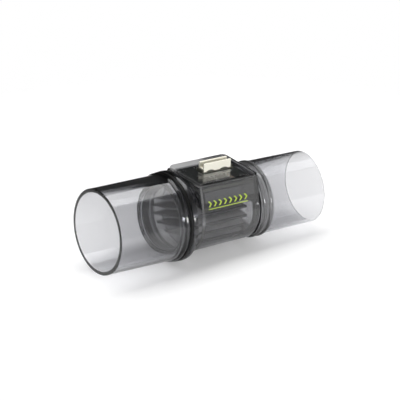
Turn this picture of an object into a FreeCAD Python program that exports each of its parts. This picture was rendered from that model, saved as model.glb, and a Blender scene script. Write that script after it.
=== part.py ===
import FreeCAD, Part
import math
import os

os.makedirs("parts", exist_ok=True)
V = FreeCAD.Vector

# Gas flow meter, millimetres. The gas flows along +X on the line Y = 0, Z = 0.
# The origin is the centre of the inlet mouth, +Z points up to the connector.

# Inlet tube: a socket with a rounded lead-in and a stop shoulder, a bead and a collar that carries the seal
socket_bore_d = 22.6
inlet_wall = 1.7
socket_depth = 22.2
lead_in_width = 0.65
lead_in_depth = 0.9
rim_break = 0.12
inlet_tube_length = 24.15
inlet_bead_width = 1.8
inlet_bead_rise = 0.45
seal_collar_wall = 1.55
inlet_seal_width = 0.85
inlet_seal_height = 1.3

# Housing: spigot, ring and neck at the inlet, drafted box with a round belly, collar at the outlet
channel_d = 20.2
channel_roof = 4.6
wall = 1.3
spigot_wall = 0.5
housing_flange_width = 2.0
housing_flange_proud = 0.1
neck_wall = 0.9
neck_length = 2.85
neck_fillet = 1.1
box_length = 20.95
belly_d_inlet = 23.4
belly_d_outlet = 22.3
box_edge_break = 0.6
rim_width = 17.9
rim_height = 11.15
outlet_collar_wall = 0.5
outlet_collar_length = 2.3
flange_edge_round = 0.6

# Outlet tube: two beads, then a 22 mm cone with a straight land at its foot
outlet_seal_width = 0.3
outlet_seal_height = 0.5
outlet_bead_setback = 0.85
outlet_bead_rise = 0.4
outlet_bead_width = 1.35
outlet_groove_width = 0.95
land_d = 22.37
land_length = 3.0
cone_length = 16.15
cone_taper = 1 / 40
outlet_bore_d = 19.9
outlet_bore_draft = 0.7

# Screen, rings and fins in the gas channel
screen_wire = 0.12
screen_pitch = 0.6
screen_rim = 0.6
ring_bore_d = 19.0
inlet_ring_setback = 0.5
inlet_ring_width = 1.8
outlet_frame_width = 1.6
outlet_frame_border = 1.3
outlet_frame_setback = 0.1
fin_pitch = 2.7
fin_count = 5
top_fin_drop = 1.9
fin_thickness = 0.7
fin_setback = 1.9
fin_length = 19.8
fin_notch = 5.4
web_thickness = 0.7

# Electronics under the lid
board_thickness = 1.0
board_top_gap = 1.2
carrier_wall = 0.5
carrier_floor = 0.4
carrier_drop = 0.2
post_d = 2.4
post_inset = 2.3
peg_d = 1.2
peg_proud = 0.3
bypass_length = 8.4
bypass_width = 5.2
bypass_wall = 1.0
bypass_slot_depth = 1.6
bypass_gasket_height = 0.6
tap_d = 1.4
tap_spacing = 5.0
chip_length = 2.6
chip_width = 1.8
chip_height = 0.45
glob_border = 0.5
glob_height = 0.75
processor_size = 3.0
processor_height = 0.55
processor_setback = 4.6
memory_size = 2.0
memory_height = 0.5
memory_spacing = 4.2
regulator_length = 2.9
regulator_width = 1.6
regulator_height = 0.6
regulator_setback = 4.6
passive_length = 1.0
passive_width = 0.5
capacitor_height = 0.5
resistor_height = 0.35
passive_pitch = 1.3
passive_rows = 3
passive_setback = 3.3
passive_spread = 5.2

# Lid, its gasket and the header that stands through it
lid_thickness = 1.0
lid_width = 17.5
lid_edge_bevel = 0.3
gasket_height = 0.15
gasket_inset = 0.45
gasket_width = 0.4
rear_corner_round = 1.8
front_corner_round = 0.7
header_width = 9.75
header_depth = 2.7
header_proud = 2.85
header_shift = 0.5
header_front_shift = 0.3
header_side_wall = 0.75
header_long_wall = 0.5
header_socket_depth = 3.4
header_slot_depth = 1.7
header_ways = 5
header_pitch = 1.5
pin_size = 0.5
pin_short_of_top = 0.9
pin_foot_thickness = 0.2
pin_foot_length = 0.8
tab_thickness = 0.2
tab_width = 1.4
tab_height = 0.5
tab_foot = 1.0
window_gap = 0.3
bead_height = 0.25
bead_width = 0.6
hump_width = 3.6
hump_height = 0.7
end_hump_height = 1.0

# Fits, and the flats that make up a small round
round_flats = 3
lead_in_flats = 4
bond_gap = 0.05
board_clearance = 0.15
ledge = 0.2

# Places along the flow
flange_x = inlet_tube_length + inlet_seal_width
box_x = flange_x + housing_flange_width + neck_length
box_end_x = box_x + box_length
housing_end_x = box_end_x + outlet_collar_length
first_bead_x = box_end_x + outlet_bead_setback
second_bead_x = first_bead_x + outlet_bead_width + outlet_groove_width
land_x = second_bead_x + outlet_bead_width
cone_x = land_x + land_length
tip_x = cone_x + cone_length
chamber_x = box_x + wall
chamber_end_x = box_end_x - wall
header_x = (box_x + box_end_x) / 2 + header_shift
header_y = -header_front_shift
inlet_ring_x = socket_depth + inlet_ring_setback
fin_x = inlet_ring_x + inlet_ring_width + fin_setback
fin_end_x = fin_x + fin_length

# Heights
floor_top = channel_roof + wall
lid_bottom = rim_height + gasket_height
lid_top = lid_bottom + lid_thickness
board_top = lid_bottom - board_top_gap
board_bottom = board_top - board_thickness
carrier_top = board_bottom - carrier_drop
header_top = lid_top + header_proud

# Radii
bore_r = socket_bore_d / 2
inlet_outer_r = bore_r + inlet_wall
channel_r = channel_d / 2
insert_r = channel_r - bond_gap
insert_roof = channel_roof - bond_gap
neck_r = channel_r + neck_wall
spigot_r = channel_r + spigot_wall
spigot_seat_r = spigot_r + bond_gap
seal_collar_r = spigot_seat_r + seal_collar_wall
inlet_seal_r = seal_collar_r + bond_gap + inlet_seal_height
housing_flange_r = inlet_seal_r + housing_flange_proud
outlet_collar_r = channel_r + outlet_collar_wall
outlet_seat_r = outlet_collar_r + bond_gap
land_r = land_d / 2
tip_r = land_r - cone_length * cone_taper / 2
tip_bore_r = (outlet_bore_d + outlet_bore_draft) / 2


def block(x0, x1, y0, y1, z0, z1):
    return Part.makeBox(x1 - x0, y1 - y0, z1 - z0, V(x0, y0, z0))


def rod(radius, x0, x1):
    return Part.makeCylinder(radius, x1 - x0, V(x0, 0, 0), V(1, 0, 0))


def post(radius, x, y, z0, z1):
    return Part.makeCylinder(radius, z1 - z0, V(x, y, z0), V(0, 0, 1))


def turned(points):
    """Solid of revolution about the flow axis from (x, radius) points."""
    corners = [V(x, 0, r) for x, r in points]
    outline = Part.makePolygon(corners + corners[:1])
    return Part.Face(outline).revolve(V(0, 0, 0), V(1, 0, 0), 360)


def quarter(x, r, dx, dr):
    """Quarter round in narrow flats, from (x + dx, r) round to (x, r + dr)."""
    steps = [math.pi / 2 * step / round_flats for step in range(round_flats + 1)]
    return [(x + dx * math.cos(a), r + dr * math.sin(a)) for a in steps]


def ridge(x0, x1, outer_r, edge):
    """Outer side of a raised ring with rounded shoulders."""
    rising = quarter(x0 + edge, outer_r - edge, -edge, edge)
    falling = quarter(x1 - edge, outer_r - edge, edge, edge)
    return rising + falling[::-1]


def bead(x0, x1, foot_r, crest_r):
    """Outer side of a low rounded bead, from foot to foot."""
    half, rise = (x1 - x0) / 2, crest_r - foot_r
    radius = (half ** 2 + rise ** 2) / (2 * rise)
    sweep = math.asin(half / radius)
    turns = [sweep * step / round_flats for step in range(-round_flats, round_flats + 1)]
    return [(x0 + half + radius * math.sin(a), crest_r - radius + radius * math.cos(a)) for a in turns]


def rounded_outline(x0, x1, half_width, z, front_round, rear_round):
    """Level rectangle with rounded corners, front and rear corners of their own size."""
    turns = [(x0, -half_width, 1, 1, front_round), (x1, -half_width, -1, 1, front_round),
             (x1, half_width, -1, -1, rear_round), (x0, half_width, 1, -1, rear_round)]
    ends = []
    for index, (x, y, sx, sy, size) in enumerate(turns):
        along_x, along_y = V(x + sx * size, y, z), V(x, y + sy * size, z)
        near = size * (1 - math.sqrt(0.5))
        middle = V(x + sx * near, y + sy * near, z)
        first, last = (along_y, along_x) if index % 2 == 0 else (along_x, along_y)
        ends.append((first, middle, last))
    edges = []
    for index, (first, middle, last) in enumerate(ends):
        following = ends[(index + 1) % len(ends)][0]
        edges.append(Part.Arc(first, middle, last).toShape())
        edges.append(Part.LineSegment(last, following).toShape())
    return Part.Wire(edges)


def plate(x0, x1, half_width, z0, z1, front_round, rear_round):
    outline = rounded_outline(x0, x1, half_width, z0, front_round, rear_round)
    return Part.Face(outline).extrude(V(0, 0, z1 - z0))


def side_tangent(radius, half_width, height):
    """Touching point of the line from the rim edge to the round belly."""
    reach = math.hypot(half_width, height)
    angle = math.atan2(height, half_width) - math.acos(radius / reach)
    return radius * math.cos(angle), radius * math.sin(angle)


def box_section(x, radius, half_width, height):
    """Outline across the flow: flat rim, drafted sides and a round belly."""
    y, z = side_tangent(radius, half_width, height)
    rim_front, rim_rear = V(x, -half_width, height), V(x, half_width, height)
    belly_front, belly_rear = V(x, -y, z), V(x, y, z)
    belly = Part.Arc(belly_rear, V(x, 0, -radius), belly_front).toShape()
    return Part.Wire([
        Part.LineSegment(rim_front, rim_rear).toShape(),
        Part.LineSegment(rim_rear, belly_rear).toShape(),
        belly,
        Part.LineSegment(belly_front, rim_front).toShape(),
    ])


def below_roof(radius, roof, x0, x1):
    """Round rod with its top cut flat at the roof."""
    return rod(radius, x0, x1).cut(block(x0, x1, -radius, radius, roof, 2 * radius))


def save(name, shape):
    shape.exportStep("parts/" + name + ".step")


def make_inlet_tube():
    """Socket with a lead-in at its mouth, a bead at its foot and the collar inside the seal."""
    outside = [(0, inlet_outer_r - rim_break), (rim_break, inlet_outer_r)]
    foot_x = inlet_tube_length - inlet_bead_width
    ring = bead(foot_x, inlet_tube_length, inlet_outer_r, inlet_outer_r + inlet_bead_rise)
    collar = [(inlet_tube_length, seal_collar_r), (flange_x, seal_collar_r), (flange_x, spigot_seat_r)]
    socket = [(socket_depth, spigot_seat_r), (socket_depth, bore_r)]
    steps = [1 - step / lead_in_flats for step in range(lead_in_flats + 1)]
    lead_in = [(lead_in_depth * t, bore_r + lead_in_width * (1 - t) ** 2) for t in steps]
    return turned(outside + ring + collar + socket + lead_in)


def make_seal(x0, x1, inner_r, outer_r):
    edge = (x1 - x0) / 4
    return turned([(x0, inner_r), (x0, outer_r - edge), (x0 + edge, outer_r), (x1 - edge, outer_r),
                   (x1, outer_r - edge), (x1, inner_r)])


def make_box():
    left = box_section(box_x, belly_d_inlet / 2, rim_width / 2, rim_height)
    right = box_section(box_end_x, belly_d_outlet / 2, rim_width / 2, rim_height)
    box = Part.makeLoft([left, right], True, True)
    ends = [e for e in box.Edges
            if all(abs(v.X - box_x) < 1e-6 for v in e.Vertexes)
            or all(abs(v.X - box_end_x) < 1e-6 for v in e.Vertexes)]
    ends = [e for e in ends if min(v.Z for v in e.Vertexes) < rim_height - 1e-6]
    return box.makeChamfer(box_edge_break, ends)


def make_neck():
    """Spigot that enters the inlet tube, flange that meets the seal, and the neck to the box."""
    flange_end_x = flange_x + housing_flange_width
    hollow = quarter(flange_end_x + neck_fillet, neck_r + neck_fillet, -neck_fillet, -neck_fillet)
    return turned([(socket_depth, 0), (socket_depth, spigot_r), (flange_x, spigot_r)]
                  + ridge(flange_x, flange_end_x, housing_flange_r, flange_edge_round)
                  + hollow + [(box_x, neck_r), (box_x, 0)])


def room(inset, z0, z1):
    """Block of the electronics room, its sides following the drafted walls at an inset."""
    y, z = side_tangent(belly_d_outlet / 2, rim_width / 2, rim_height)
    draft = (y - rim_width / 2) / (rim_height - z)
    low, high = [rim_width / 2 - wall - inset + draft * (rim_height - level) for level in (z0, z1)]
    x0, x1 = chamber_x + inset, chamber_end_x - inset
    corners = [V(x0, -high, z1), V(x0, high, z1), V(x0, low, z0), V(x0, -low, z0)]
    return Part.Face(Part.makePolygon(corners + corners[:1])).extrude(V(x1 - x0, 0, 0))


def post_places():
    half = rim_width / 2 - wall - board_clearance - post_inset
    for x in (chamber_x + board_clearance + post_inset, chamber_end_x - board_clearance - post_inset):
        for y in (-half, half):
            yield x, y


def tap_places():
    middle = (box_x + box_end_x) / 2
    return [middle - tap_spacing / 2, middle + tap_spacing / 2]


def make_housing():
    collar = rod(outlet_collar_r, box_end_x - box_edge_break, housing_end_x)
    solid = make_box().fuse([make_neck(), collar])
    channel = rod(channel_r, socket_depth, housing_end_x)
    roof = block(box_x, box_end_x, -channel_r, channel_r, channel_roof, 2 * channel_r)
    solid = solid.cut(channel.cut(roof)).cut(room(0, floor_top, rim_height))
    for x, y in post_places():
        peg_top = board_top + peg_proud
        solid = solid.fuse([post(post_d / 2, x, y, floor_top - wall / 2, board_bottom),
                            post(peg_d / 2, x, y, board_bottom, peg_top)])
    for x in tap_places():
        solid = solid.cut(post(tap_d / 2, x, 0, channel_roof - wall / 2, floor_top + wall / 2))
    return solid.removeSplitter()


def make_outlet_tube():
    """Seat over the housing's collar, two beads with a groove between them, land and cone."""
    foot_x = box_end_x + outlet_seal_width
    crest_r = land_r + outlet_bead_rise
    seat_end_x = housing_end_x + bond_gap
    return turned([(foot_x, outlet_seat_r), (foot_x, land_r)]
                  + bead(first_bead_x, first_bead_x + outlet_bead_width, land_r, crest_r)
                  + bead(second_bead_x, land_x, land_r, crest_r)
                  + [(cone_x, land_r), (tip_x - rim_break, tip_r), (tip_x, tip_r - rim_break),
                     (tip_x, tip_bore_r), (seat_end_x, outlet_bore_d / 2), (seat_end_x, outlet_seat_r)])


def make_inlet_ring():
    ring_end_x = inlet_ring_x + inlet_ring_width
    return rod(insert_r, inlet_ring_x, ring_end_x).cut(rod(ring_bore_d / 2, inlet_ring_x, ring_end_x))


def make_screen():
    """Fine cloth of upright and level wires in two touching layers, each held in its own rim."""
    first_x = inlet_ring_x - bond_gap - 2 * screen_wire
    wires = int(insert_r / screen_pitch)
    layers = []
    for layer, turn in enumerate((0, 90)):
        x0 = first_x + layer * screen_wire
        x1 = x0 + screen_wire
        disc = rod(insert_r, x0, x1)
        rim = disc.cut(rod(insert_r - screen_rim, x0, x1))
        bars = []
        for wire in range(-wires, wires + 1):
            y = wire * screen_pitch
            bars.append(block(x0, x1, y - screen_wire / 2, y + screen_wire / 2, -insert_r, insert_r))
        cloth = rim.fuse([bar.common(disc) for bar in bars])
        cloth.rotate(V(0, 0, 0), V(1, 0, 0), turn)
        layers.append(cloth.removeSplitter())
    return Part.makeCompound(layers)


def make_outlet_frame():
    x1 = box_end_x - outlet_frame_setback
    x0 = x1 - outlet_frame_width
    inner = below_roof(insert_r - outlet_frame_border, insert_roof - outlet_frame_border, x0, x1)
    return below_roof(insert_r, insert_roof, x0, x1).cut(inner)


def make_fin_stack():
    """Level fins, notched at their leading edge and tied by an upright web on the flow axis."""
    top_fin = channel_roof - top_fin_drop
    outline = [V(fin_x, -insert_r, 0), V(fin_x + fin_notch, 0, 0), V(fin_x, insert_r, 0),
               V(fin_end_x, insert_r, 0), V(fin_end_x, -insert_r, 0)]
    leaf = Part.Face(Part.makePolygon(outline + outline[:1])).extrude(V(0, 0, fin_thickness))
    leaves = []
    for level in range(fin_count):
        fin = leaf.copy()
        fin.translate(V(0, 0, top_fin - level * fin_pitch - fin_thickness / 2))
        leaves.append(fin)
    bottom_fin = top_fin - (fin_count - 1) * fin_pitch
    leaves.append(block(fin_x + fin_notch - web_thickness, fin_end_x, -web_thickness / 2, web_thickness / 2,
                        bottom_fin, top_fin))
    stack = leaves[0].fuse(leaves[1:]).common(rod(insert_r, fin_x, fin_end_x))
    return stack.removeSplitter()


def make_lid():
    half = lid_width / 2
    lid = plate(box_x + ledge, box_end_x - ledge, half, lid_bottom, lid_top,
                front_corner_round, rear_corner_round)
    rim = [e for e in lid.Edges if all(abs(v.Z - lid_top) < 1e-6 for v in e.Vertexes)]
    lid = lid.makeChamfer(lid_edge_bevel, rim)
    return lid.cut(header_block(window_gap, lid_bottom, lid_top))


def make_gasket():
    def level(inset):
        x0, x1 = box_x + ledge + inset, box_end_x - ledge - inset
        grow = gasket_inset - inset
        return plate(x0, x1, lid_width / 2 - inset, rim_height, lid_bottom,
                     front_corner_round + grow, rear_corner_round + grow)
    return level(gasket_inset).cut(level(gasket_inset + gasket_width))


def make_board():
    half = rim_width / 2 - wall - board_clearance
    x0, x1 = chamber_x + board_clearance, chamber_end_x - board_clearance
    board = block(x0, x1, -half, half, board_bottom, board_top)
    return board.cut([post(peg_d / 2 + bond_gap, x, y, board_bottom, board_top) for x, y in post_places()])


def make_carrier():
    """Open tray in the electronics room, with a window for the bypass block and holes for the posts."""
    top = floor_top + carrier_floor
    tray = room(board_clearance, floor_top, carrier_top)
    hollow = room(board_clearance + carrier_wall, top, carrier_top)
    middle = (box_x + box_end_x) / 2
    half_l, half_w = bypass_length / 2 + board_clearance, bypass_width / 2 + board_clearance
    window = block(middle - half_l, middle + half_l, -half_w, half_w, floor_top, top)
    holes = [post(post_d / 2 + board_clearance, x, y, floor_top, top) for x, y in post_places()]
    return tray.cut([hollow, window] + holes)


def header_block(grow, z0, z1):
    half_w, half_d = header_width / 2 + grow, header_depth / 2 + grow
    return block(header_x - half_w, header_x + half_w, header_y - half_d, header_y + half_d, z0, z1)


def pin_places():
    first = header_x - header_pitch * (header_ways - 1) / 2
    return [first + header_pitch * way for way in range(header_ways)]


def make_pin(x):
    """Upright contact with a foot bent to the front along the board."""
    half_pin = pin_size / 2
    pin_top = header_top - pin_short_of_top
    upright = block(x - half_pin, x + half_pin, header_y - half_pin, header_y + half_pin, board_top, pin_top)
    foot_y = header_y - header_depth / 2 - pin_foot_length
    foot = block(x - half_pin, x + half_pin, foot_y, header_y + half_pin,
                 board_top, board_top + pin_foot_thickness)
    return upright.fuse(foot).removeSplitter()


def make_header_pins():
    return Part.makeCompound([make_pin(x) for x in pin_places()])


def make_header_shell():
    shell = header_block(0, board_top, header_top)
    half_w, half_d = header_width / 2 - header_side_wall, header_depth / 2 - header_long_wall
    socket = block(header_x - half_w, header_x + half_w, header_y - half_d, header_y + half_d,
                   header_top - header_socket_depth, header_top)
    slots = block(header_x - header_width, header_x + header_width, header_y - half_d, header_y + half_d,
                  header_top - header_slot_depth, header_top)
    return shell.cut([socket, slots] + [make_pin(x) for x in pin_places()])


def make_header_tabs():
    """Solder tabs at both ends of the header, bent out onto the board."""
    y0, y1 = header_y - tab_width / 2, header_y + tab_width / 2
    tabs = []
    for side in (-1, 1):
        end_x = header_x + side * header_width / 2
        upright = sorted((end_x, end_x + side * tab_thickness))
        foot = sorted((end_x, end_x + side * tab_foot))
        tab = block(upright[0], upright[1], y0, y1, board_top, board_top + tab_height)
        tabs.append(tab.fuse(block(foot[0], foot[1], y0, y1, board_top, board_top + tab_thickness)))
    return Part.makeCompound([t.removeSplitter() for t in tabs])


def make_sealant():
    """Sealing bead round the header, with two humps up its front face and one up each end."""
    plug = header_block(window_gap, lid_bottom, lid_top)
    fillet = header_block(bead_width, lid_top, lid_top + bead_height)
    humps = []
    radius = (hump_width ** 2 / 4 + hump_height ** 2) / (2 * hump_height)
    front = header_y - header_depth / 2
    for side in (-1, 1):
        end_x = header_x + side * header_width / 2
        x0, x1 = sorted((end_x, end_x + side * bead_width))
        humps.append(block(x0, x1, front, front + header_depth, lid_top, lid_top + end_hump_height))
        x = header_x + side * header_width / 4
        centre = V(x, front - bead_width, lid_top + hump_height - radius)
        drum = Part.makeCylinder(radius, bead_width, centre, V(0, 1, 0))
        humps.append(drum.common(block(x - hump_width, x + hump_width, front - bead_width, front,
                                       lid_top, lid_top + hump_height)))
    return plug.fuse([fillet] + humps).cut(header_block(0, lid_bottom, header_top)).removeSplitter()


def make_bypass_block():
    """Side passage for the measured gas: two taps rise to a slot under the board."""
    middle = (box_x + box_end_x) / 2
    z0 = floor_top + bypass_gasket_height
    half_l, half_w = bypass_length / 2, bypass_width / 2
    solid = block(middle - half_l, middle + half_l, -half_w, half_w, z0, board_bottom)
    slot_l, slot_w = half_l - bypass_wall, half_w - bypass_wall
    slot_z = board_bottom - bypass_slot_depth
    slot = block(middle - slot_l, middle + slot_l, -slot_w, slot_w, slot_z, board_bottom)
    return solid.cut([slot] + [post(tap_d / 2, x, 0, z0, board_bottom) for x in tap_places()])


def make_bypass_gasket():
    middle = (box_x + box_end_x) / 2
    half_l, half_w = bypass_length / 2, bypass_width / 2
    z1 = floor_top + bypass_gasket_height
    pad = block(middle - half_l, middle + half_l, -half_w, half_w, floor_top, z1)
    return pad.cut([post(tap_d / 2, x, 0, floor_top, z1) for x in tap_places()])


def make_sensor_chip(border, height):
    middle = (box_x + box_end_x) / 2
    half_l, half_w = chip_length / 2 + border, chip_width / 2 + border
    return block(middle - half_l, middle + half_l, -half_w, half_w, board_bottom - height, board_bottom)


def make_glob():
    return make_sensor_chip(glob_border, glob_height).cut(make_sensor_chip(0, glob_height))


def chip_on_board(x, y, length, width, height):
    return block(x - length / 2, x + length / 2, y - width / 2, y + width / 2, board_top, board_top + height)


def make_passives(x, height):
    """Small parts in rows on the board, front and rear."""
    parts = []
    for row in range(passive_rows):
        for side in (-1, 1):
            y = side * (passive_setback + row * passive_pitch)
            parts.append(chip_on_board(x, y, passive_length, passive_width, height))
    return Part.makeCompound(parts)


save("inlet_tube", make_inlet_tube())
save("inlet_seal", make_seal(inlet_tube_length, flange_x, seal_collar_r + bond_gap, inlet_seal_r))
save("body_housing", make_housing())
save("outlet_tube", make_outlet_tube())
save("outlet_seal", make_seal(box_end_x, box_end_x + outlet_seal_width, outlet_seat_r,
                              outlet_seat_r + outlet_seal_height))
save("inlet_screen", make_screen())
save("inlet_retaining_ring", make_inlet_ring())
save("outlet_frame", make_outlet_frame())
save("fin_stack", make_fin_stack())
save("lid", make_lid())
save("lid_gasket", make_gasket())
save("circuit_board", make_board())
save("sensor_carrier", make_carrier())
save("header_shell", make_header_shell())
save("header_pins", make_header_pins())
save("header_tabs", make_header_tabs())
save("header_sealant", make_sealant())
save("bypass_block", make_bypass_block())
save("bypass_gasket", make_bypass_gasket())
save("sensor_chip", make_sensor_chip(0, chip_height))
save("chip_encapsulation", make_glob())
save("signal_processor", chip_on_board(header_x, -processor_setback, processor_size, processor_size,
                                       processor_height))
save("memory_chip", chip_on_board(header_x - memory_spacing, -processor_setback, memory_size, memory_size,
                                  memory_height))
save("voltage_regulator", chip_on_board(header_x, regulator_setback, regulator_length, regulator_width,
                                        regulator_height))
save("capacitors", make_passives(header_x + passive_spread / 2, capacitor_height))
save("resistors", make_passives(header_x - passive_spread / 2, resistor_height))
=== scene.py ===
import bpy
import bmesh
import math
from mathutils import Matrix, Vector
from mathutils.bvhtree import BVHTree


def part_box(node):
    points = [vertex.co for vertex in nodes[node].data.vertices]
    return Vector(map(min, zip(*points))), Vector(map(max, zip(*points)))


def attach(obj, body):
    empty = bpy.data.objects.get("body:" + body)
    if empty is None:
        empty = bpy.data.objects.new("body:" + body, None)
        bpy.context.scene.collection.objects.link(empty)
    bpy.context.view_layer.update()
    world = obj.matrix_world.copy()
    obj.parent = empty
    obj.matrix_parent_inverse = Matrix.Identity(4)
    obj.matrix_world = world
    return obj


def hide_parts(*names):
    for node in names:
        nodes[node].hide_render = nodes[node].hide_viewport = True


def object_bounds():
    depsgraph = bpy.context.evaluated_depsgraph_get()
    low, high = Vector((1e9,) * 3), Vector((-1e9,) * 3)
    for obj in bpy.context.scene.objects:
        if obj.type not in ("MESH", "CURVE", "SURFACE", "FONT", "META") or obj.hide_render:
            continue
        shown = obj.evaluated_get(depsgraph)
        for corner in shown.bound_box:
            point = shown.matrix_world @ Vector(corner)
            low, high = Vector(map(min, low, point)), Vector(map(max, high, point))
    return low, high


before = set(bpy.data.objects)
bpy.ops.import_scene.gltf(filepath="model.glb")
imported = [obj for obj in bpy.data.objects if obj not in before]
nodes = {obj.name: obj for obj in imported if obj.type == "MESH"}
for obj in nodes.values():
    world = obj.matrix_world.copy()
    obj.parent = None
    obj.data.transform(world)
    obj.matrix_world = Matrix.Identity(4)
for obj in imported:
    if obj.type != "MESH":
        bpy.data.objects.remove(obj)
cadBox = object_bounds()
mm = 0.001  # lengths in the dictionaries below are in millimetres unless a note says otherwise
bpy.context.scene.view_settings.view_transform = "Standard"
print("stage: frame loaded,", len(nodes), "CAD nodes")


class Wire:  # one socket of a node tree; sums on it add Math nodes
    def __init__(self, tree, socket=None):
        self.tree = tree
        self.socket = socket

    def add(self, kind, settings=None, inputs=None, out=0):
        node = self.tree.nodes.new(kind)
        for name, value in (settings or {}).items():
            setattr(node, name, value)
        for name, value in (inputs or {}).items():
            if isinstance(value, Wire):
                self.tree.links.new(value.socket, node.inputs[name])
            else:
                node.inputs[name].default_value = value
        return Wire(self.tree, node.outputs[out] if node.outputs else None)

    def maths(self, operation, first, second):
        return self.add("ShaderNodeMath", {"operation": operation}, {0: first, 1: second})

    def __add__(self, other):
        return self.maths("ADD", self, other)

    def __radd__(self, other):
        return self.maths("ADD", other, self)

    def __sub__(self, other):
        return self.maths("SUBTRACT", self, other)

    def __rsub__(self, other):
        return self.maths("SUBTRACT", other, self)

    def __mul__(self, other):
        return self.maths("MULTIPLY", self, other)

    def __rmul__(self, other):
        return self.maths("MULTIPLY", other, self)

    def __gt__(self, other):
        return self.maths("GREATER_THAN", self, other)

    def __lt__(self, other):
        return self.maths("LESS_THAN", self, other)


def newMaterial(name):
    material = bpy.data.materials.new(name)
    material.use_nodes = True
    material.node_tree.nodes.clear()
    return material, Wire(material.node_tree)


def finishMaterial(wire, surface, volume=None):
    inputs = {"Surface": surface}
    if volume is not None:
        inputs["Volume"] = volume
    wire.add("ShaderNodeOutputMaterial", {}, inputs)


def noise(wire, scale, detail):
    place = wire.add("ShaderNodeTexCoord", out="Object")
    return wire.add("ShaderNodeTexNoise", {}, {"Vector": place, "Scale": scale, "Detail": detail}, out="Fac")


def mixColor(wire, factor, first, second):  # on a Mix node, sockets 6 and 7 and output 2 are the colours
    settings = {"data_type": "RGBA", "blend_type": "MIX"}
    return wire.add("ShaderNodeMix", settings, {0: factor, 6: first, 7: second}, out=2)


def grey(value):
    return (value, value, value, 1)


def axisOf(wire, axis):
    place = wire.add("ShaderNodeTexCoord", out="Object")
    return wire.add("ShaderNodeSeparateXYZ", {}, {0: place}, out=axis)


def smoothStep(wire, value, span):  # from 0 at the first value to 1 at the second
    limits = {"Value": value, "From Min": span[0], "From Max": span[1]}
    return wire.add("ShaderNodeMapRange", {"interpolation_type": "SMOOTHSTEP"}, limits)


def ramp(wire, value, span):  # the same between two places in millimetres
    return smoothStep(wire, value, [place * mm for place in span])


# The meter lies on its inlet ring and on the outlet tip, so the table slopes in the meter's own axes

ringReach = 5.0  # the second contact lies further along than this from the ring's lowest point


def restingLine():
    points = [v.co for node in nodes.values() for v in node.data.vertices]
    ringFoot = min(points, key=lambda p: p.z)
    beyond = [p for p in points if p.x > ringFoot.x + ringReach * mm]
    tipFoot = min(beyond, key=lambda p: (p.z - ringFoot.z) / (p.x - ringFoot.x))
    slope = math.atan2(tipFoot.z - ringFoot.z, tipFoot.x - ringFoot.x)
    return Vector((ringFoot.x, 0, ringFoot.z)), slope


ringFoot, tableSlope = restingLine()
tableTurn = Matrix.Rotation(-tableSlope, 3, "Y")
print("stage: table slope", round(math.degrees(tableSlope), 2), "degrees")

photoCamera = {
    "turn": 34.42,  # degrees from straight in front, towards the inlet
    "height": 24.40,  # degrees above the table
    "distance": 1120.0,
    "aim": (36.29, 0.0, 3.02),
    "lens": 338.8,
    "clip": 10.0,
}


def cameraSide():  # direction from the meter to the camera, in the table's axes
    turn, height = math.radians(photoCamera["turn"]), math.radians(photoCamera["height"])
    level = math.cos(height)
    return Vector((-math.sin(turn) * level, -math.cos(turn) * level, math.sin(height)))


def makeCamera():
    data = bpy.data.cameras.new("photoCamera")
    data.lens = photoCamera["lens"]
    data.clip_start = photoCamera["clip"] * mm
    camera = bpy.data.objects.new("photoCamera", data)
    bpy.context.scene.collection.objects.link(camera)
    away = cameraSide()
    facing = tableTurn @ (-away).to_track_quat("-Z", "Y").to_matrix()
    place = Vector(photoCamera["aim"]) * mm + tableTurn @ away * photoCamera["distance"] * mm
    camera.matrix_world = Matrix.Translation(place) @ facing.to_4x4()
    bpy.context.scene.camera = camera


makeCamera()

studio = {
    "tableSize": 700.0,
    "tableFade": (85.0, 140.0),  # from the middle of the meter, where the white top runs out
    "tableDrop": 0.02,  # below the contact points
    "tableColor": grey(0.9),
    "tableGlow": 0.18,  # share of plain white that the eye, reflections and glass see
    "ambient": 0.30,
    "backdrop": 0.05,  # dim wall behind the table
    "backdropFrom": (-0.1, 0.35),  # cosines to the level line of sight between which that wall fades in
    "paperFrom": (0.992, 0.998),  # the same to the line of sight, for the white in reflections and glass
    "overhead": {
        "size": (700.0, 391.0), "place": (35.0, 142.0, 500.0), "facing": (0, 0, -1), "watts": 2.85,
    },
    "front": {
        "size": (400.0, 160.0), "place": (108.0, -784.0, 139.0), "facing": (-0.09, 0.98, -0.17), "watts": 4.5,
    },
}


def seenDirectly(wire):  # 1 for what the eye sees, also in a reflection or through glass
    eye = wire.add("ShaderNodeLightPath", out="Is Camera Ray")
    glossy = wire.add("ShaderNodeLightPath", out="Is Glossy Ray")
    through = wire.add("ShaderNodeLightPath", out="Is Transmission Ray")
    return wire.maths("MAXIMUM", wire.maths("MAXIMUM", eye, glossy), through)


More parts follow.
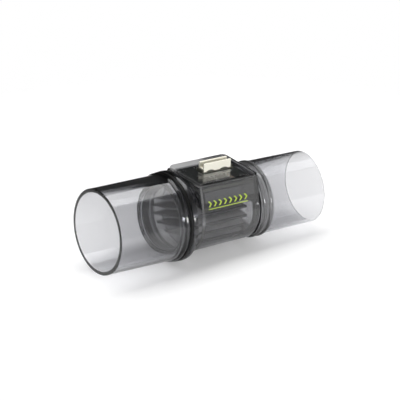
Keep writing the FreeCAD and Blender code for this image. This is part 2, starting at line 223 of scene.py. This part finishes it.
def makeTable():
    half = studio["tableSize"] / 2 * mm
    mesh = bpy.data.meshes.new("table")
    corners = [(-half, -half, 0), (half, -half, 0), (half, half, 0), (-half, half, 0)]
    mesh.from_pydata(corners, [], [(0, 1, 2, 3)])
    table = bpy.data.objects.new("table", mesh)
    bpy.context.scene.collection.objects.link(table)
    lowered = ringFoot - tableTurn @ Vector((0, 0, studio["tableDrop"] * mm))
    table.matrix_world = Matrix.Translation(lowered) @ tableTurn.to_4x4()
    material, wire = newMaterial("tableWhite")
    matt = wire.add("ShaderNodeBsdfDiffuse", {}, {"Color": studio["tableColor"]})
    glow = wire.add("ShaderNodeEmission", {}, {"Strength": seenDirectly(wire) * studio["tableGlow"]})
    top = wire.add("ShaderNodeAddShader", {}, {0: matt, 1: glow})
    place = wire.add("ShaderNodeTexCoord", out="Object")
    middle = ((cadBox[0][0] + cadBox[1][0]) / 2 - ringFoot.x, 0, 0)
    reach = wire.add("ShaderNodeVectorMath", {"operation": "DISTANCE"}, {0: place, 1: middle}, out="Value")
    fade = ramp(wire, reach, studio["tableFade"])
    beyond = wire.add("ShaderNodeBsdfTransparent")
    finishMaterial(wire, wire.add("ShaderNodeMixShader", {}, {0: fade, 1: top, 2: beyond}))
    mesh.materials.append(material)


def makeLamp(name):
    lamp = studio[name]
    data = bpy.data.lights.new(name, "AREA")
    data.shape = "RECTANGLE"
    data.size, data.size_y = [side * mm for side in lamp["size"]]
    data.energy = lamp["watts"]
    light = bpy.data.objects.new(name, data)
    bpy.context.scene.collection.objects.link(light)
    place = Vector(lamp["place"]) * mm
    facing = Vector(lamp["facing"]).to_track_quat("-Z", "Y").to_matrix()
    light.matrix_world = Matrix.Translation(place) @ facing.to_4x4()


def cosineTo(wire, direction, line):
    settings = {"operation": "DOT_PRODUCT"}
    return wire.add("ShaderNodeVectorMath", settings, {0: direction, 1: line}, out="Value")


def makeWorld():  # white to the eye, and a dim room to most of what is reflected or seen through glass
    world = bpy.data.worlds.new("studio")
    bpy.context.scene.world = world
    world.use_nodes = True
    world.node_tree.nodes.clear()
    wire = Wire(world.node_tree)
    direction = wire.add("ShaderNodeTexCoord", out="Generated")
    turn = math.radians(photoCamera["turn"])
    backward = cosineTo(wire, direction, (math.sin(turn), math.cos(turn), 0))
    behind = smoothStep(wire, backward, studio["backdropFrom"])
    room = mixColor(wire, behind, grey(studio["ambient"]), grey(studio["backdrop"]))
    ahead = cosineTo(wire, direction, -(tableTurn @ cameraSide()))
    paper = smoothStep(wire, ahead, studio["paperFrom"])
    eye = wire.add("ShaderNodeLightPath", out="Is Camera Ray")
    white = wire.maths("MAXIMUM", eye, seenDirectly(wire) * paper)
    color = mixColor(wire, white, room, grey(1.0))
    background = wire.add("ShaderNodeBackground", {}, {"Color": color, "Strength": 1.0})
    wire.add("ShaderNodeOutputWorld", {}, {"Surface": background})


makeTable()
makeLamp("overhead")
makeLamp("front")
makeWorld()
print("stage: studio set")

# Smoke-grey clear plastic: the wall takes light away with its thickness, and lamps shine through it

clearWall = {  # what the clear pieces share; patterns repeat so many times a metre
    "ior": 1.55, "specular": 0.5, "smoke": (0.42, 0.425, 0.45, 1),
    "smudge": 240.0, "smudgeDetail": 4.0,  # handling marks, which vary the gloss
    "flow": 60.0, "flowDetail": 1.0, "flowDepth": 0.1,  # slow ripple of a moulded wall
    "grain": 900.0, "grainDetail": 4.0, "mattBase": grey(0.1), "mattRoughness": 0.8,  # of the matt patches
}
inletPlastic = {
    **clearWall, "color": (0.97, 0.97, 0.98, 1), "roughness": (0.01, 0.05), "ripple": 0.04,
    "density": 385.0,  # of the smoke, per metre of wall
    "lampTint": grey(0.9),
}
outletPlastic = {
    **inletPlastic, "density": 440.0, "specular": 0.25, "lampTint": grey(0.82),
    "matt": [{"along": ((51.0, 51.4), (56.0, 55.2)), "color": (grey(0.09), grey(0.13)), "share": 0.45}],
}
wallGrain = (grey(0.11), grey(0.16))
housingPlastic = {
    **clearWall, "color": (0.95, 0.95, 0.96, 1), "roughness": (0.01, 0.06), "ripple": 0.05,
    "density": 600.0, "lampTint": grey(0.88),
    "matt": [  # fine matt grain, and a painted highlight down the box's front-left edge: where each fades in and out, and the share of the surface it takes
        {"along": ((29.6, 31.2), (51.0, 49.6)), "color": wallGrain, "share": 0.10},
        {"along": ((43.5, 46.5), (51.0, 49.6)), "color": wallGrain, "share": 0.23},
        {"along": ((29.6, 31.2), (51.0, 49.6)), "up": ((3.9, 4.8),), "color": wallGrain, "share": 0.24},
        # painted highlight: a pale band down the front-left edge of the box
        {"along": ((29.88, 29.98), (30.5, 30.3)), "across": ((-5.0, -6.0),),
         "color": (grey(0.50), grey(0.60)), "share": 0.2},
    ],
}
lidPlastic = {
    **housingPlastic, "density": 480.0,
    "matt": [
        # painted light: a lighter band along the lid's left edge
        {"along": ((30.5, 30.2),), "color": (grey(0.20), grey(0.28)), "share": 0.3},
        # painted light: a pale band along the rear edge, where the lit table would show through
        {"along": ((47.0, 39.0),), "across": ((4.3, 5.7),), "color": (grey(0.50), grey(0.58)), "share": 0.6},
    ],
}
ringPlastic = {**housingPlastic, "matt": [{"color": (grey(0.17), grey(0.22)), "share": 0.42}]}


def mattGrainAndPaintedLight(wire, shell, look):
    grain = noise(wire, look["grain"], look["grainDetail"])
    share, color = 0.0, look["mattBase"]
    for patch in look["matt"]:
        here = 1.0
        for axis, key in (("X", "along"), ("Y", "across"), ("Z", "up")):
            for span in patch.get(key, ()):
                here = ramp(wire, axisOf(wire, axis), span) * here
        color = mixColor(wire, here, color, mixColor(wire, grain, *patch["color"]))
        share = here * patch["share"] + share
    matt = wire.add("ShaderNodeBsdfPrincipled", {}, {
        "Base Color": color, "Roughness": look["mattRoughness"], "Specular IOR Level": 0.0})
    return wire.add("ShaderNodeMixShader", {}, {0: share, 1: shell, 2: matt})


def smokedPlastic(name, look):
    material, wire = newMaterial(name)
    handled = noise(wire, look["smudge"], look["smudgeDetail"])
    low, high = look["roughness"]
    flow = noise(wire, look["flow"], look["flowDetail"])
    bump = wire.add("ShaderNodeBump", {}, {
        "Strength": look["ripple"], "Distance": look["flowDepth"] * mm, "Height": flow})
    shell = wire.add("ShaderNodeBsdfPrincipled", {}, {
        "Base Color": look["color"], "Roughness": low + handled * (high - low), "IOR": look["ior"],
        "Transmission Weight": 1.0, "Specular IOR Level": look["specular"], "Normal": bump})
    if "matt" in look:
        shell = mattGrainAndPaintedLight(wire, shell, look)
    lamps = wire.add("ShaderNodeLightPath", out="Is Shadow Ray")
    passing = wire.add("ShaderNodeBsdfTransparent", {}, {"Color": look["lampTint"]})
    surface = wire.add("ShaderNodeMixShader", {}, {0: lamps, 1: shell, 2: passing})
    smoke = wire.add("ShaderNodeVolumeAbsorption", {}, {"Color": look["smoke"], "Density": look["density"]})
    finishMaterial(wire, surface, smoke)
    return material


# Opaque finishes: two shades in a soft mottle, and a fine grain that varies the gloss and lifts the surface

opaque = {  # what they share, unless a finish says otherwise
    "mottle": 300.0, "detail": 3.0, "bumpStrength": 0.4, "specular": 0.5, "metallic": 0.0,
}
solidFinishes = {
    "sealRubber": {
        "color": (grey(0.004), grey(0.008)), "roughness": (0.35, 0.5), "grain": 2500.0, "bump": 0.01,
        "specular": 0.2,
    },
    "insertBlack": {
        "color": (grey(0.015), grey(0.03)), "roughness": (0.3, 0.45), "grain": 1800.0, "bump": 0.01,
    },
    "screenCloth": {
        "color": (grey(0.16), grey(0.21)), "roughness": (0.5, 0.6), "grain": 4000.0, "bump": 0.005,
    },
    "silicon": {
        "color": ((0.05, 0.05, 0.06, 1), (0.09, 0.09, 0.11, 1)), "roughness": (0.1, 0.2), "grain": 1500.0,
        "bump": 0.005,
    },
    "moldedEpoxy": {
        "color": (grey(0.02), grey(0.035)), "roughness": (0.5, 0.65), "grain": 6000.0, "bump": 0.01,
    },
    "ivoryNylon": {
        "color": ((0.91, 0.885, 0.76, 1), (0.96, 0.935, 0.82, 1)), "roughness": (0.4, 0.55), "grain": 3000.0,
        "bump": 0.01,
    },
    "tinnedContact": {
        "color": (grey(0.62), grey(0.74)), "roughness": (0.25, 0.35), "grain": 4000.0, "bump": 0.003,
        "metallic": 1.0,
    },
    "sealant": {
        "color": ((0.045, 0.045, 0.034, 1), (0.07, 0.07, 0.055, 1)), "roughness": (0.3, 0.45),
        "grain": 1500.0, "bump": 0.02,
    },
    # painted light: the gasket is pale so that its thin lines along the lid's edges read as light lines
    "paintedLightGasket": {
        "color": (grey(0.50), grey(0.62)), "roughness": (0.4, 0.5), "grain": 2500.0, "bump": 0.01,
    },
}


def mottled(wire, look, colors):
    return mixColor(wire, noise(wire, look["mottle"], look["detail"]), *colors)


def mattShell(wire, color, look):
    fine = noise(wire, look["grain"], look["detail"])
    low, high = look["roughness"]
    bump = wire.add("ShaderNodeBump", {}, {
        "Strength": look["bumpStrength"], "Distance": look["bump"] * mm, "Height": fine})
    return wire.add("ShaderNodeBsdfPrincipled", {}, {
        "Base Color": color, "Roughness": low + fine * (high - low), "Normal": bump,
        "Specular IOR Level": look["specular"], "Metallic": look["metallic"]})


def solidPlastic(name, finish):
    look = {**opaque, **finish}
    material, wire = newMaterial(name)
    finishMaterial(wire, mattShell(wire, mottled(wire, look, look["color"]), look))
    return material


finSheet = {
    **opaque, "face": (grey(0.41), grey(0.49)), "edge": grey(0.03),
    "shadeFrom": (9.55, 9.8),  # distance from the flow axis where the painted shade on the fins' outer edges begins
    "roughness": (0.35, 0.5), "grain": 1800.0, "bump": 0.01,
}


def finPlastic(look):
    material, wire = newMaterial("finSheet")
    place = wire.add("ShaderNodeTexCoord", out="Object")
    across = wire.add("ShaderNodeVectorMath", {"operation": "MULTIPLY"}, {0: place, 1: (0, 1, 1)})
    reach = wire.add("ShaderNodeVectorMath", {"operation": "LENGTH"}, {0: across}, out="Value")
    # painted shade: the fins' outer edges are darkened
    shadedEdge = ramp(wire, reach, look["shadeFrom"])
    color = mixColor(wire, shadedEdge, mottled(wire, look, look["face"]), look["edge"])
    finishMaterial(wire, mattShell(wire, color, look))
    return material


carrierTray = {
    **opaque, "wall": (grey(0.24), grey(0.30)), "end": grey(0.02),
    "shadedEndTo": (31.5, 32.0),  # the end wall towards the inlet is painted dark as shade
    "roughness": (0.35, 0.5), "grain": 1800.0, "bump": 0.01,
}


def carrierPlastic(look):
    material, wire = newMaterial("carrierTray")
    # painted shade: the tray's end wall towards the inlet is coloured near-black
    unshaded = ramp(wire, axisOf(wire, "X"), look["shadedEndTo"])
    color = mixColor(wire, unshaded, look["end"], mottled(wire, look, look["wall"]))
    finishMaterial(wire, mattShell(wire, color, look))
    return material


boardFinish = {
    **opaque, "mask": (grey(0.006), (0.010, 0.014, 0.011, 1)), "mottle": 500.0,
    "trace": (0.022, 0.030, 0.024, 1), "traceFrom": 0.72,  # height of the wave above which it is a trace
    "wave": 320.0, "waveBend": 6.0, "waveDetail": 60.0,
    "laminate": ((0.20, 0.20, 0.17, 1), (0.28, 0.28, 0.24, 1)), "weave": 900.0,
    "steep": 0.25,  # square of the normal's height, below which a face is a cut edge
    "roughness": (0.25, 0.4), "grain": 1500.0, "bump": 0.01,
}


def solderMask(look):
    material, wire = newMaterial("solderMask")
    place = wire.add("ShaderNodeTexCoord", out="Object")
    waves = {"Vector": place, "Scale": look["wave"], "Distortion": look["waveBend"],
             "Detail Scale": look["waveDetail"]}
    bands = wire.add("ShaderNodeTexWave", {"wave_type": "BANDS", "bands_direction": "Y"}, waves, out="Fac")
    mask = mixColor(wire, bands > look["traceFrom"], mottled(wire, look, look["mask"]), look["trace"])
    normal = wire.add("ShaderNodeNewGeometry", out="Normal")
    upward = wire.add("ShaderNodeSeparateXYZ", {}, {0: normal}, out="Z")
    side = upward * upward < look["steep"]
    edge = mixColor(wire, noise(wire, look["weave"], look["detail"]), *look["laminate"])
    finishMaterial(wire, mattShell(wire, mixColor(wire, side, mask, edge), look))
    return material


capacitorFinish = {
    **opaque, "body": ((0.30, 0.20, 0.12, 1), (0.36, 0.25, 0.16, 1)), "mottle": 900.0,
    "cap": grey(0.58), "capFrom": 0.6,  # share of the half length where the tinned end begins
    "roughness": (0.3, 0.45), "grain": 4000.0, "bump": 0.005,
}
resistorFinish = {**capacitorFinish, "body": (grey(0.02), grey(0.04))}


def passivePart(nodeName, look):
    material, wire = newMaterial(nodeName + "Finish")
    low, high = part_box(nodeName)
    middle, half = (low[0] + high[0]) / 2, (high[0] - low[0]) / 2
    offset = axisOf(wire, "X") - middle
    tinned = offset * offset > (look["capFrom"] * half) ** 2
    color = mixColor(wire, tinned, mottled(wire, look, look["body"]), look["cap"])
    finishMaterial(wire, mattShell(wire, color, look))
    return material


solidMaterials = {name: solidPlastic(name, finish) for name, finish in solidFinishes.items()}
slotMaterials = {
    "smoked_clear": smokedPlastic("smokedClear", inletPlastic),
    "smoked_housing": smokedPlastic("smokedHousing", housingPlastic),
    "black_seal": solidMaterials["sealRubber"],
    "black_insert": solidMaterials["insertBlack"],
    "carrier_grey": carrierPlastic(carrierTray),
    "screen_cloth": solidMaterials["screenCloth"],
    "board": solderMask(boardFinish),
    "silicon": solidMaterials["silicon"],
    "chip_package": solidMaterials["moldedEpoxy"],
    "ivory": solidMaterials["ivoryNylon"],
    "tinned_contact": solidMaterials["tinnedContact"],
}
nodeMaterials = {  # nodes with a finish of their own
    "outlet_tube": smokedPlastic("smokedOutlet", outletPlastic),
    "lid": smokedPlastic("lidSmoke", lidPlastic),
    "inlet_retaining_ring": smokedPlastic("ringSmoke", ringPlastic),
    "fin_stack": finPlastic(finSheet),
    "header_sealant": solidMaterials["sealant"],
    "lid_gasket": solidMaterials["paintedLightGasket"],
    "capacitors": passivePart("capacitors", capacitorFinish),
    "resistors": passivePart("resistors", resistorFinish),
}
slotOf = {}
for name, node in nodes.items():
    slot = node.material_slots[0]
    slotOf[name] = slot.material.name
    slot.material = nodeMaterials[name] if name in nodeMaterials else slotMaterials[slotOf[name]]
print("stage: materials on", len(nodes), "nodes")

# Smooth pieces stand for CAD nodes: tubes turned again, the housing welded, and edges softened

meshing = {  # angles in degrees
    "weld": 0.001, "flatAngle": 1.0, "smoothAngle": 40.0, "bevelAngle": 35.0, "bevelSteps": 3,
    "turns": 192, "turnedAngle": 35.0, "cornerSteps": 5, "beadSteps": 18,
}


def showFor(nodeName, mesh, smoothAngle, edgeWidth=0.0):
    mesh.shade_smooth()
    mesh.set_sharp_from_angle(angle=math.radians(smoothAngle))
    piece = bpy.data.objects.new(nodeName + "Smooth", mesh)
    bpy.context.scene.collection.objects.link(piece)
    mesh.materials.clear()
    mesh.materials.append(nodes[nodeName].material_slots[0].material)
    if edgeWidth:
        edge = piece.modifiers.new("soft edges", "BEVEL")
        edge.width = edgeWidth * mm
        edge.segments = meshing["bevelSteps"]
        edge.angle_limit = math.radians(meshing["bevelAngle"])
    steady = piece.modifiers.new("flat faces stay flat", "WEIGHTED_NORMAL")
    steady.keep_sharp = True
    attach(piece, "root")
    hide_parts(nodeName)


def weldedMesh(nodeName):
    mesh = nodes[nodeName].data.copy()
    work = bmesh.new()
    work.from_mesh(mesh)
    bmesh.ops.remove_doubles(work, verts=work.verts, dist=meshing["weld"] * mm)
    bmesh.ops.recalc_face_normals(work, faces=work.faces)
    work.to_mesh(mesh)
    work.free()
    if mesh.has_custom_normals:
        mesh.attributes.remove(mesh.attributes["custom_normal"])
    return mesh


def softened(nodeName, width):
    mesh = weldedMesh(nodeName)
    work = bmesh.new()
    work.from_mesh(mesh)
    flat = math.radians(meshing["flatAngle"])
    bmesh.ops.dissolve_limit(work, angle_limit=flat, verts=work.verts, edges=work.edges)
    work.to_mesh(mesh)
    work.free()
    showFor(nodeName, mesh, meshing["smoothAngle"], width)


def lathe(nodeName, profile):
    work = bmesh.new()
    turns, count = meshing["turns"], len(profile)
    rows = []
    for step in range(turns):
        angle = 2 * math.pi * step / turns
        side, up = math.sin(angle), math.cos(angle)
        rows.append([work.verts.new((x * mm, r * side * mm, r * up * mm)) for x, r in profile])
    for step in range(turns):
        row, following = rows[step], rows[(step + 1) % turns]
        for index in range(count):
            after = (index + 1) % count
            work.faces.new((row[index], row[after], following[after], following[index]))
    bmesh.ops.recalc_face_normals(work, faces=work.faces)
    mesh = bpy.data.meshes.new(nodeName + "Smooth")
    work.to_mesh(mesh)
    work.free()
    showFor(nodeName, mesh, meshing["turnedAngle"])


def corner(x, r, dx, dr):  # rounded edge from (x + dx, r) to (x, r + dr)
    steps = meshing["cornerSteps"]
    angles = [math.pi / 2 * step / steps for step in range(steps + 1)]
    return [(x + dx - dx * math.sin(a), r + dr - dr * math.cos(a)) for a in angles]


def bead(start, end, foot, crest):  # raised ring with a round back
    steps = meshing["beadSteps"]
    half, rise = (end - start) / 2, crest - foot
    radius = (half ** 2 + rise ** 2) / (2 * rise)
    sweep = math.asin(half / radius)
    angles = [sweep * (2 * step / steps - 1) for step in range(steps + 1)]
    return [(start + half + radius * math.sin(a), crest - radius + radius * math.cos(a)) for a in angles]


inlet = {
    "outer": 13.0, "bore": 11.3, "mouth": 11.9, "depth": 22.2,  # the bore widens to its mouth
    "rim": 0.12, "hold": 0.36,  # round of the rim, and a row of points behind it to keep the wall straight
    "bead": (22.35, 24.15, 13.45), "collar": 12.2, "end": 25.0, "seat": 10.65,
}
outlet = {
    "foot": 51.1, "seat": 10.65, "seatEnd": 53.15, "land": 11.185, "crest": 11.585,
    "beads": ((51.65, 53.0), (53.95, 55.3)), "cone": 58.3, "tip": 74.45, "tipOuter": 10.983,
    "bore": 9.95, "tipBore": 10.3, "rim": 0.12, "hold": 0.36,
}


def inletProfile():
    rim = inlet["rim"]
    outside = corner(0, inlet["outer"], rim, -rim)[::-1] + [(inlet["hold"], inlet["outer"])]
    start, end, crest = inlet["bead"]
    ring = bead(start, end, inlet["outer"], crest)
    collar = [(end, inlet["collar"]), (inlet["end"], inlet["collar"]), (inlet["end"], inlet["seat"])]
    socket = [(inlet["depth"], inlet["seat"]), (inlet["depth"], inlet["bore"]), (0, inlet["mouth"])]
    return outside + ring + collar + socket


def outletProfile():
    rim = outlet["rim"]
    points = [(outlet["foot"], outlet["seat"]), (outlet["foot"], outlet["land"])]
    for start, end in outlet["beads"]:
        points += bead(start, end, outlet["land"], outlet["crest"])
    points += [(outlet["cone"], outlet["land"]), (outlet["tip"] - outlet["hold"], outlet["tipOuter"])]
    points += corner(outlet["tip"], outlet["tipOuter"], -rim, -rim)
    points += [(outlet["tip"], outlet["tipBore"]), (outlet["seatEnd"], outlet["bore"])]
    points += [(outlet["seatEnd"], outlet["seat"])]
    return points


lathe("inlet_tube", inletProfile())
lathe("outlet_tube", outletProfile())
showFor("body_housing", weldedMesh("body_housing"), meshing["smoothAngle"])
print("stage: smooth tubes and housing")

edgeSoftness = {
    "header_shell": 0.12, "lid": 0.1, "header_pins": 0.06, "header_tabs": 0.05, "sensor_carrier": 0.08,
    "bypass_block": 0.1, "signal_processor": 0.06, "memory_chip": 0.05, "voltage_regulator": 0.06,
    "capacitors": 0.06, "resistors": 0.05, "circuit_board": 0.06,
}
for nodeName, width in edgeSoftness.items():
    softened(nodeName, width)
print("stage: soft edges on", len(edgeSoftness), "pieces")

# Flow arrows printed on the front wall: a thin skin of ink that follows the drafted face

printMark = {
    "from": 32.0, "pitch": 1.85, "count": 8, "width": 1.3, "stroke": 0.55, "low": 5.35, "high": 7.05,
    "line": (4.62, 4.86), "thickness": 0.02, "sink": 0.005,  # out of the wall and into it
    "castFrom": -50.0,  # in front of the wall that the outlines are cast on
    "ink": {
        "color": ((0.30, 0.42, 0.02, 1), (0.40, 0.52, 0.04, 1)), "roughness": (0.45, 0.6), "grain": 5000.0,
        "bump": 0.003,
    },
}


def printOutlines():
    low, high = printMark["low"], printMark["high"]
    stroke, width = printMark["stroke"], printMark["width"]
    middle = (low + high) / 2
    outlines = []
    for index in range(printMark["count"]):
        x = printMark["from"] + index * printMark["pitch"]
        outlines.append([(x, high), (x + stroke, high), (x + width, middle), (x + stroke, low), (x, low),
                         (x + width - stroke, middle)])
    end = printMark["from"] + (printMark["count"] - 1) * printMark["pitch"] + width
    bottom, top = printMark["line"]
    outlines.append([(printMark["from"], top), (end, top), (end, bottom), (printMark["from"], bottom)])
    return outlines


def makePrint():
    wall = bmesh.new()
    wall.from_mesh(nodes["body_housing"].data)
    tree = BVHTree.FromBMesh(wall)
    wall.free()
    work = bmesh.new()
    inward = Vector((0, 1, 0))
    proud = Vector((0, -printMark["thickness"] * mm, 0))
    sunk = Vector((0, printMark["sink"] * mm, 0))
    for outline in printOutlines():
        starts = [Vector((x * mm, printMark["castFrom"] * mm, z * mm)) for x, z in outline]
        face = [tree.ray_cast(start, inward)[0] for start in starts]
        front = [work.verts.new(point + proud) for point in face]
        back = [work.verts.new(point + sunk) for point in face]
        work.faces.new(front)
        work.faces.new(back[::-1])
        for index in range(len(face)):
            after = (index + 1) % len(face)
            work.faces.new((front[index], back[index], back[after], front[after]))
    bmesh.ops.recalc_face_normals(work, faces=work.faces)
    mesh = bpy.data.meshes.new("flowArrows")
    work.to_mesh(mesh)
    work.free()
    mesh.materials.append(solidPlastic("printInk", printMark["ink"]))
    piece = bpy.data.objects.new("flowArrows", mesh)
    bpy.context.scene.collection.objects.link(piece)
    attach(piece, "root")


makePrint()
print("stage: flow arrows printed")
